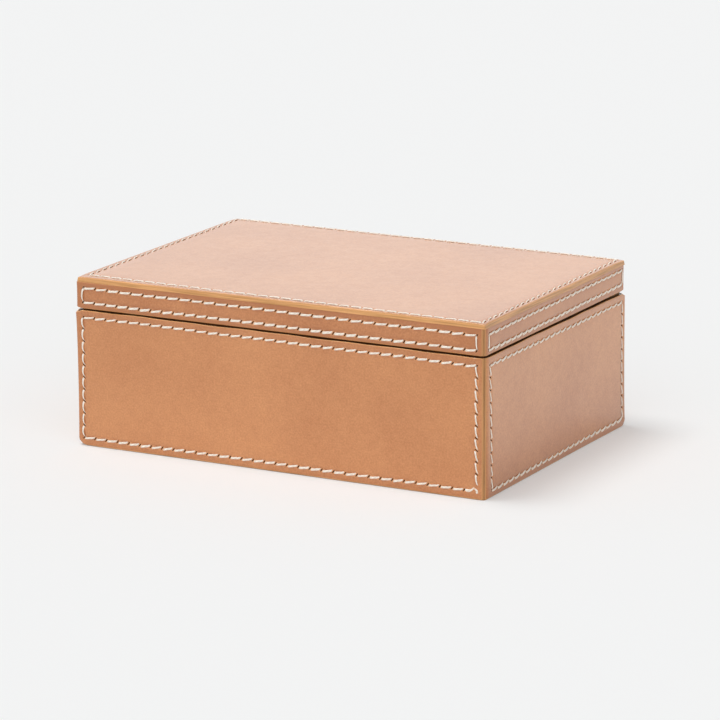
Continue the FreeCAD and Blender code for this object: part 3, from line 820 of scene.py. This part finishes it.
def sewn_rows(rows, seed):
    """The stitches of some rows, as one mesh."""
    settings = {sew_ids["Pitch"]: NOMINAL_PITCH, sew_ids["Seed"]: seed, sew_ids["Thread"]: linen_thread}
    holders = {label: bpy.data.objects.new("stitch", mesh) for label, mesh in stitch_meshes.items()}
    for label, holder in holders.items():
        scene.collection.objects.link(holder)
        settings[sew_ids[label]] = holder
    made = run_tree(row_lines(rows), sew_tree, settings)
    for holder in holders.values():
        bpy.data.objects.remove(holder)
    return made


def place_piece(mesh, node, word, body, slot, bend=None):
    """Bend a mesh into its place; the piece rides on a body and stands for a node."""
    if bend:
        for vertex in mesh.vertices:
            vertex.co = bend(vertex.co)
    mesh.name = node + "_" + word
    mesh.shade_smooth()
    mesh.set_sharp_from_angle(angle=SHARP_ANGLE)
    piece = bpy.data.objects.new(mesh.name, mesh)
    scene.collection.objects.link(piece)
    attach(piece, body)
    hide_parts(node)
    return piece


print("edges sharper than", round(math.degrees(SHARP_ANGLE)), "degrees stay sharp")

# %% [markdown]
# ## Bending a sheet round a corner
# A side sheet starts at the seam behind the left side, runs forward, turns the front-left corner and ends at
# the seam at the front right. The second sheet is the same, turned half round. On the bend, depth shortens
# the radius, so the back of the leather is tighter than the face. The free edges are not quite straight: they
# wave a little, and at the bend, where the leather is stretched, they draw back and leave a notch. The bent
# corner stands a little proud of the board, and at the foot of the box it is rounder, because it is worn.

# %% The bend
CORNER_RADIUS = 1.2 * MM
INNER_RADIUS = 0.3 * MM
CORNER_SPREAD = 2.2 * MM
SLACK_REACH = 70 * MM
WAVE_LENGTHS = (71 * MM, 29 * MM)
WAVE_FADE = 12 * MM
DRAWN_ZONE = 8 * MM
PROUD_REACH = 35 * MM
PROUD_FADE = 18 * MM
WORN_ZONE = 6 * MM


def sheet_length(length, width):
    """How long a flat sheet has to be to reach round two sides of a box."""
    return length + width - CORNER_RADIUS * (2 - math.pi / 2)


def eased(past_x, past_y):
    """A point of a square corner, moved onto a round one; both distances are from the centre of the round."""
    if past_x <= 0 or past_y <= 0:
        return past_x, past_y
    scale = max(past_x, past_y) / math.hypot(past_x, past_y)
    return past_x * scale, past_y * scale


def side_bend(length, width, low, tall, half_turn, shape):
    """The function that bends a flat side sheet round two sides; shape says how far it is from straight."""
    total = sheet_length(length, width)
    bend_start = width - CORNER_RADIUS
    bend_end = bend_start + CORNER_RADIUS * math.pi / 2
    corner = (bend_start + bend_end) / 2
    zone = min(DRAWN_ZONE, tall / 2)
    sign = -1 if half_turn else 1

    def near(distance):
        """1 at a free edge, falling to 0 where its zone ends."""
        return max(0.0, min(1.0, 1 - distance / zone)) ** 2

    def drawn(along, rise):
        """The height of a point, with the free edges waved and drawn back."""
        fade = max(0.0, min(1.0, along / WAVE_FADE, (total - along) / WAVE_FADE))
        wave = shape["wave"] * fade * sum(math.sin(2 * math.pi * along / part) for part in WAVE_LENGTHS)
        near_corner = math.exp(-((along - corner) / CORNER_SPREAD) ** 2)
        slackened = shape["slack"] * math.exp(-((along - corner) / SLACK_REACH) ** 2)
        raised = shape["low_dip"] * near_corner - shape["low_drop"]
        sunk = shape["top_dip"] * near_corner + shape["top_drop"] + slackened + wave
        return rise + raised * near(rise) - sunk * near(tall - rise)

    def proud(along, rise):
        """How far the corner stands out from the board at its foot and its top."""
        foot, top = shape["proud"]
        grown = foot * math.exp(-rise / PROUD_FADE) + top * math.exp((rise - tall) / PROUD_FADE)
        return grown * math.exp(-((along - corner) / PROUD_REACH) ** 2)

    def worn(rise):
        """The extra rounding of the corner at its foot."""
        share = max(0.0, 1 - rise / WORN_ZONE)
        return shape["low_round"] * (1 - math.sqrt(1 - share ** 2))

    def bend(point):
        """The place on the box of a point of the flat sheet."""
        along, rise, depth = point
        radius = CORNER_RADIUS + depth * (CORNER_RADIUS - INNER_RADIUS) / LEATHER
        axis = radius - depth
        if along < bend_start:
            x = -length / 2 - depth
            y = max(width / 2 - along, axis - width / 2)
        elif along < bend_end:
            angle = (along - bend_start) / CORNER_RADIUS
            x = axis - length / 2 - radius * math.cos(angle)
            y = axis - width / 2 - radius * math.sin(angle)
        else:
            x = max(along - bend_end + CORNER_RADIUS, axis) - length / 2
            y = -width / 2 - depth
        rounding = worn(rise)
        past_x, past_y = eased(rounding - length / 2 - x, rounding - width / 2 - y)
        out = proud(along, rise) * (1 + depth / LEATHER)
        x = rounding - length / 2 - past_x - out
        y = rounding - width / 2 - past_y - out
        return Vector((sign * x, sign * y, low + drawn(along, rise)))

    return bend


print("bend radius:", CORNER_RADIUS / MM, "mm")

# %% [markdown]
# ## The side sheets and their stitches
# The body and the lid are dressed alike. Each of their two sheets covers a short side and a long side, and
# each side has its own rectangle of stitches. Insets and pitches are in millimetres. The thread of the body's
# front is tied off at its low right corner, where one end comes up to the column and the other hangs down.

# %% How the body and the lid differ
# The edge at the gap is darkened past raw, and its back painted dark, as painted shade in the gap.
GAP_EDGE = cut_edge(LEATHER, radius=0.45 * MM, rawness=1.3, back_rawness=2.0)
# The low edge is darkened past raw, and its back painted dark, as painted shade where the box meets the
# floor.
LOW_EDGE = cut_edge(LEATHER, radius=0.9 * MM, rawness=1.45, back_rawness=2.0, hold=2.0)
PLATE_SIDE_EDGE = cut_edge(LEATHER, radius=0.2 * MM, rawness=0.5, back_rawness=1.0)
FOLD_BAND = 9 * MM
# Each of the knot's two threads runs between two points, in millimetres from the corner of the rows.
KNOT = (((-0.7, 2.1), (-6.6, 0.0)), ((-1.5, 1.7), (0.3, -1.4)))
KNOT_ROOM = Vector((6.6, 2.6)) * MM
BODY_SHAPE = {
    "low_dip": 0.8 * MM, "low_drop": 0.0, "top_dip": 1.2 * MM, "top_drop": 0.5 * MM, "wave": 0.1 * MM}
BODY = {
    "short": {
        "insets": ((7.9, 3.7), (4.1, 4.1), (4.1, 4.8), (5.4, 4.5)), "pitches": (6.05, 6.05, 6.2), "lean": 14,
        "columns": ((TIGHT, 14), (TIGHT, 8)), "fullness": 0.93},
    "long": {
        "insets": ((3.4, 4.2), (4.8, 4.3), (4.8, 4.4), (4.4, 3.8)), "pitches": (6.45, 6.45, 6.2), "lean": 9,
        "columns": ((SLACK, 5), (TIGHT, 12)), "fullness": 1.0},
    "edges": (LOW_EDGE, GAP_EDGE),
    "shapes": (
        {**BODY_SHAPE, "slack": 0.0, "low_round": 8 * MM, "proud": (0.35 * MM, 0.5 * MM)},
        {**BODY_SHAPE, "slack": 0.35 * MM, "low_round": 7 * MM, "proud": (0.6 * MM, 0.0)},
    ),
    # The right and back sheet is painted lighter, as painted light, and darker towards its foot, as painted
    # shade.
    "tones": ((0.40, 0.0), (0.28, 0.45)),
    "tied_off": "front",
}
LID_SHAPE = {
    "low_dip": 0.35 * MM, "low_drop": 0.45 * MM, "top_dip": 0.0, "top_drop": 0.0, "wave": 0.0,
    "slack": 0.0, "low_round": 0.0}
LID = {
    "short": {
        "insets": ((4.7, 2.2), (2.2, 3.2), (2.2, 2.7), (5.0, 3.3)), "pitches": (6.05, 6.05, 7), "lean": 10,
        "columns": ((TIGHT, 2), (TIGHT, 2)), "fullness": 0.95},
    "long": {
        "insets": ((3.7, 2.9), (4.6, 2.3), (4.6, 3.5), (4.0, 2.9)), "pitches": (6.45, 6.9, 7), "lean": 6,
        "columns": ((SLACK, 0), (TIGHT, 4)), "fullness": 1.0},
    "edges": (GAP_EDGE, PLATE_SIDE_EDGE),
    "shapes": ({**LID_SHAPE, "proud": (0.4 * MM, 0.4 * MM)}, {**LID_SHAPE, "proud": (0.0, 0.0)}),
    "tones": ((0.66, 0.0), (0.60, 0.0)),
    "tied_off": None,
}
print("tones of body and lid:", BODY["tones"], LID["tones"])

# %% Dress the sides
def tied_off(rows):
    """Make room at the low right corner of a side's rows; returns the threads that tie it off there."""
    corner = rows[0]["end"]
    rows[0]["end"] = corner - Vector((KNOT_ROOM.x, 0))
    rows[3]["start"] = corner + Vector((0, KNOT_ROOM.y))
    return [row(corner + Vector(start) * MM, corner + Vector(end) * MM, NOMINAL_PITCH, 0, SLACK)
            for start, end in KNOT]


def dress_sides(prefix, body, look):
    """Two leather sheets round the sides of a body, each with the stitches of its two sides."""
    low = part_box(prefix + "front_left_leather")[0]
    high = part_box(prefix + "right_back_leather")[1]
    length, width, tall = high - low
    total = sheet_length(length, width)
    sheets = (("front_left_leather", ("left", "front")), ("right_back_leather", ("right", "back")))
    for half_turn, (sheet_name, sides) in enumerate(sheets):
        bend = side_bend(length, width, low.z, tall, half_turn, look["shapes"][half_turn])
        threads = []
        rows = []
        for side, kind, ends in zip(sides, ("short", "long"), ((0, width), (total - length, total))):
            side_rows = stitched_rectangle(*ends, 0, tall, look[kind])
            knot = tied_off(side_rows) if side == look["tied_off"] else []
            threads.append((side, side_rows + knot))
            rows += side_rows
        seam = seam_edge(LEATHER)
        columns = grid_lines(total, seam, seam, bands_of(rows, 0) + [(width - FOLD_BAND, width + FOLD_BAND)])
        levels = grid_lines(tall, *look["edges"], bands_of(rows, 1))
        tones = look["tones"][half_turn]
        flat = flat_sheet(columns, levels, rows, tan_leather, tones, seams=True, fold=width)
        sheet = punched(flat, rows)
        print(prefix + sheet_name, "has", len(sheet.polygons), "faces")
        place_piece(sheet, prefix + sheet_name, "sheet", body, "tan_leather", bend)
        for order, (side, side_rows) in enumerate(threads):
            thread = sewn_rows(side_rows, seed=2 * half_turn + order)
            place_piece(thread, prefix + side + "_stitches", "thread", body, "cream_thread", bend)


dress_sides("", "box", BODY)
dress_sides("lid_", "lid", LID)

# %% [markdown]
# ## The plate on the lid
# The top of the lid is one flat plate, laid over the upper edges of the side leather, so its own cut edge
# shows all round. The edge is rubbed hollow and leaves a thin lip at its foot, and on the short sides it is
# painted a little darker, as painted shade. The corners are rounded a little with a file, and they droop.

# %% Lid plate
PLATE_LEATHER = 2.6 * MM
PLATE_ROUND = 0.9 * MM
PLATE_HOLLOW = 0.22 * MM
LIP_HIGH = 0.4 * MM
LIP_SLOPE = 0.5 * MM
PLATE_CORNER = 1.0 * MM
DROOP = 0.35 * MM
DROOP_REACH = 5 * MM
PLATE_TONES = (0.35, 0.0)
LONG_RAWNESS = 1.0
# The short sides' edges go past raw towards the dark edge colour, as painted shade.
SHORT_SHADED_RAWNESS = 1.1
PLATE_AWL = 0.4
PLATE_SEED = 9
PLATE_SEWING = {
    "insets": ((3.9, 5.6), (3.2, 2.5), (3.4, 2.4), (3.0, 2.4)), "pitches": (6.45, 6.45, 6.05), "lean": 8,
    "columns": ((TIGHT, 10), (TIGHT, 10)), "fullness": 1.0}

plate_low, plate_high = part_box("lid_top_leather")
plate_long, plate_wide = (plate_high - plate_low).xy


def lay_plate(point):
    """Lay the flat plate on the lid, with its corners rounded in plan."""
    x = point.x - plate_long / 2
    y = point.y - plate_wide / 2
    past_x, past_y = eased(abs(x) - plate_long / 2 + PLATE_CORNER, abs(y) - plate_wide / 2 + PLATE_CORNER)
    short = math.hypot(past_x - PLATE_CORNER, past_y - PLATE_CORNER)
    droop = DROOP * math.exp(-(short / DROOP_REACH) ** 2) * (1 + point.z / PLATE_LEATHER)
    x = math.copysign(plate_long / 2 - PLATE_CORNER + past_x, x)
    y = math.copysign(plate_wide / 2 - PLATE_CORNER + past_y, y)
    return Vector((x, y, plate_high.z + point.z - droop))


def plate_edge(rawness):
    """Lines of the plate's edge: up the lip, into the hollow and round to the face."""
    lip = [(0.0, -PLATE_LEATHER, rawness), (0.0, LIP_HIGH - PLATE_LEATHER, rawness)]
    hollow = [(PLATE_HOLLOW + inset, max(depth, LIP_HIGH + LIP_SLOPE - PLATE_LEATHER), raw)
              for inset, depth, raw in cut_edge(PLATE_LEATHER, PLATE_ROUND, rawness, rawness)[1:]]
    return lip + hollow


plate_rows = stitched_rectangle(0, plate_long, 0, plate_wide, PLATE_SEWING)
short_edge = plate_edge(SHORT_SHADED_RAWNESS)
long_edge = plate_edge(LONG_RAWNESS)
plate_columns = grid_lines(plate_long, short_edge, short_edge, bands_of(plate_rows, 0))
plate_levels = grid_lines(plate_wide, long_edge, long_edge, bands_of(plate_rows, 1))
flat_plate = flat_sheet(plate_columns, plate_levels, plate_rows, tan_leather, PLATE_TONES)
plate = punched(flat_plate, plate_rows, PLATE_AWL)
place_piece(plate, "lid_top_leather", "plate", "lid", "tan_leather", lay_plate)
plate_thread = sewn_rows(plate_rows, PLATE_SEED)
place_piece(plate_thread, "lid_top_stitches", "thread", "lid", "cream_thread", lay_plate)
print("plate:", len(plate.polygons), "faces")

# %% [markdown]
# ## Mitred strips
# The leather rims and the suede linings are strips that meet in mitres at the corners, like a picture
# frame. A strip is a profile, drawn as distances outwards and upwards, that is swept along a side. The ends
# follow the profile: the further out a point is, the longer the strip is there.

# %% Strips
SIDES = ("front", "right", "back", "left")
STRIP_STEPS = 24
ARC_STEPS = 4


def rounded(corners):
    """The points of a profile; each corner is (out, up, radius) in millimetres."""
    points = []
    for i, (out, up, radius) in enumerate(corners):
        corner = Vector((out, up))
        if radius == 0:
            points.append(corner * MM)
            continue
        before = (Vector(corners[i - 1][:2]) - corner).normalized()
        after = (Vector(corners[(i + 1) % len(corners)][:2]) - corner).normalized()
        half = before.angle(after) / 2
        centre = corner + (before + after).normalized() * (radius / math.sin(half))
        first = corner + before * (radius / math.tan(half)) - centre
        last = corner + after * (radius / math.tan(half)) - centre
        for step in range(ARC_STEPS + 1):
            spoke = first.slerp(last, step / ARC_STEPS).normalized() * radius
            points.append((centre + spoke) * MM)
    return points


def mitred_strip(side, length, width, profile, material):
    """A strip along one side of a rectangle, with its profile swept from mitre to mitre."""
    order = SIDES.index(side)
    run, reach = (length, width) if order % 2 == 0 else (width, length)
    turn = Matrix.Rotation(math.pi / 2 * order, 3, "Z")
    vertices = []
    for step in range(STRIP_STEPS + 1):
        share = 2 * step / STRIP_STEPS - 1
        vertices += [turn @ Vector((share * (run / 2 + out), -reach / 2 - out, up)) for out, up in profile]
    mesh = bpy.data.meshes.new("strip")
    mesh.from_pydata(vertices, [], swept_faces(STRIP_STEPS + 1, len(profile)))
    mesh.materials.append(material)
    return cleaned(mesh)


def strips_of(kind, word, body, slot, material, length, width, corners):
    """The same strip on all four sides, one piece for each node."""
    profile = rounded(corners)
    for side in SIDES:
        node = kind.format(side)
        place_piece(mitred_strip(side, length, width, profile, material), node, word, body, slot)


print("arcs of", ARC_STEPS, "steps")

# %% [markdown]
# ## Rims
# A strip of leather covers the edges of the walls, and another the lower edges of the lid. Their colour is
# dark, as painted shade in the gap. They meet when the box is shut, and all that shows of them is the dark
# line between lid and body.

# %% Rims of the body and the lid
RIM_LOW_ROUND = 0.3
RIM_TOP_ROUND = 0.4


def box_in_mm(node):
    """A node's lowest and highest corner in millimetres."""
    return [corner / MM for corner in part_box(node)]


def rim_corners(node):
    """A flat strip with its upper and lower edges eased."""
    low, high = box_in_mm(node)
    deep = high.y - low.y
    return [(0, low.z, RIM_LOW_ROUND), (0, high.z, RIM_TOP_ROUND),
            (-deep, high.z, RIM_TOP_ROUND), (-deep, low.z, RIM_LOW_ROUND)]


for prefix, body in (("", "box"), ("lid_", "lid")):
    low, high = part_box(prefix + "front_rim")[0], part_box(prefix + "back_rim")[1]
    strips_of(prefix + "{}_rim", "strip", body, "edge_leather", rim_leather,
              high.x - low.x, high.y - low.y, rim_corners(prefix + "front_rim"))
print("rims laid")

# %% [markdown]
# ## Linings
# A thin board stands inside each wall and rises above the rim, so that it keeps the lid in place. Suede
# covers its inner face, turns over its top edge and comes down outside as far as the rim. In the lid, suede
# covers the sides and the underside of the top.

# %% Suede linings
SUEDE = 1.0
FOLD_ROUND = 1.6
OUTER_ROUND = 0.3
INNER_ROUND = 0.5

low, high = box_in_mm("front_lining")
lip_low, lip_high = box_in_mm("front_lip")
flap_foot = box_in_mm("front_rim")[1].z
lip_deep = lip_high.y - lip_low.y
lining_corners = [
    (SUEDE, flap_foot, 0), (SUEDE, high.z, FOLD_ROUND), (-lip_deep - SUEDE, high.z, FOLD_ROUND),
    (-lip_deep - SUEDE, low.z, 0), (-lip_deep, low.z, 0), (-lip_deep, high.z - SUEDE, FOLD_ROUND - SUEDE),
    (0, high.z - SUEDE, FOLD_ROUND - SUEDE), (0, flap_foot, 0)]
lip_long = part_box("right_lip")[1].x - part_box("left_lip")[0].x
lip_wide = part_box("back_lip")[1].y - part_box("front_lip")[0].y
strips_of("{}_lining", "suede", "box", "suede", suede, lip_long, lip_wide, lining_corners)

low, high = box_in_mm("lid_front_lining")
lid_corners = [(0, low.z, OUTER_ROUND), (0, high.z, 0),
               (low.y - high.y, high.z, 0), (low.y - high.y, low.z, INNER_ROUND)]
lid_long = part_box("lid_right_lining")[1].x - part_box("lid_left_lining")[0].x
lid_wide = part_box("lid_back_lining")[1].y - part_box("lid_front_lining")[0].y
strips_of("lid_{}_lining", "suede", "lid", "suede", suede, lid_long, lid_wide, lid_corners)
print("linings:", [round(v / MM, 1) for v in (lip_long, lip_wide, lid_long, lid_wide)], "mm")

# %% [markdown]
# ## Floor pad, lid lining and base
# These are flat sheets too. The pad on the floor is suede over thin foam: its edge is full and round, its
# middle a little higher, and its sides draw in between the corners. The lid's lining and the leather under
# the base face downwards, so they are laid turned over.

# %% Flat inner sheets
EDGE_ROUND = 0.6 * MM
PAD_ROUND = 1.6 * MM
PAD_CROWN = 0.5 * MM
PAD_PULL = 0.4 * MM


def plain_sheet(node, radius, material):
    """A flat sheet without stitches, as large as a node."""
    long, wide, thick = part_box(node)[1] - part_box(node)[0]
    edge = cut_edge(thick, radius, rawness=0.5, back_rawness=1.0)
    return flat_sheet(grid_lines(long, edge, edge, []), grid_lines(wide, edge, edge, []), [], material)


pad_low, pad_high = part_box("floor_pad")
pad_long, pad_wide, pad_thick = pad_high - pad_low


def lay_pad(point):
    """Lay the pad on the floor, crowned and drawn in at its sides."""
    u = 2 * point.x / pad_long - 1
    v = 2 * point.y / pad_wide - 1
    crown = PAD_CROWN * (1 - (1 - u ** 2) * (1 - v ** 2)) * (1 + point.z / pad_thick)
    x = u * (pad_long / 2 - PAD_PULL * (1 - v ** 2))
    y = v * (pad_wide / 2 - PAD_PULL * (1 - u ** 2))
    return Vector((x, y, pad_high.z + point.z - crown))


flat_pad = plain_sheet("floor_pad", PAD_ROUND, suede)
pad = place_piece(flat_pad, "floor_pad", "cushion", "box", "suede", lay_pad)


def laid_face_down(node):
    """The function that lays a sheet into a node's place with its face down."""
    low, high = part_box(node)
    return lambda point: Vector((high.x - point.x, low.y + point.y, low.z - point.z))


FACE_DOWN = (
    ("lid_lining", "suede", "lid", "suede", suede),
    ("base_cover", "sheet", "box", "edge_leather", tan_leather),
)
for node, word, body, slot, material in FACE_DOWN:
    place_piece(plain_sheet(node, EDGE_ROUND, material), node, word, body, slot, laid_face_down(node))
print("pad, lid lining and base laid")
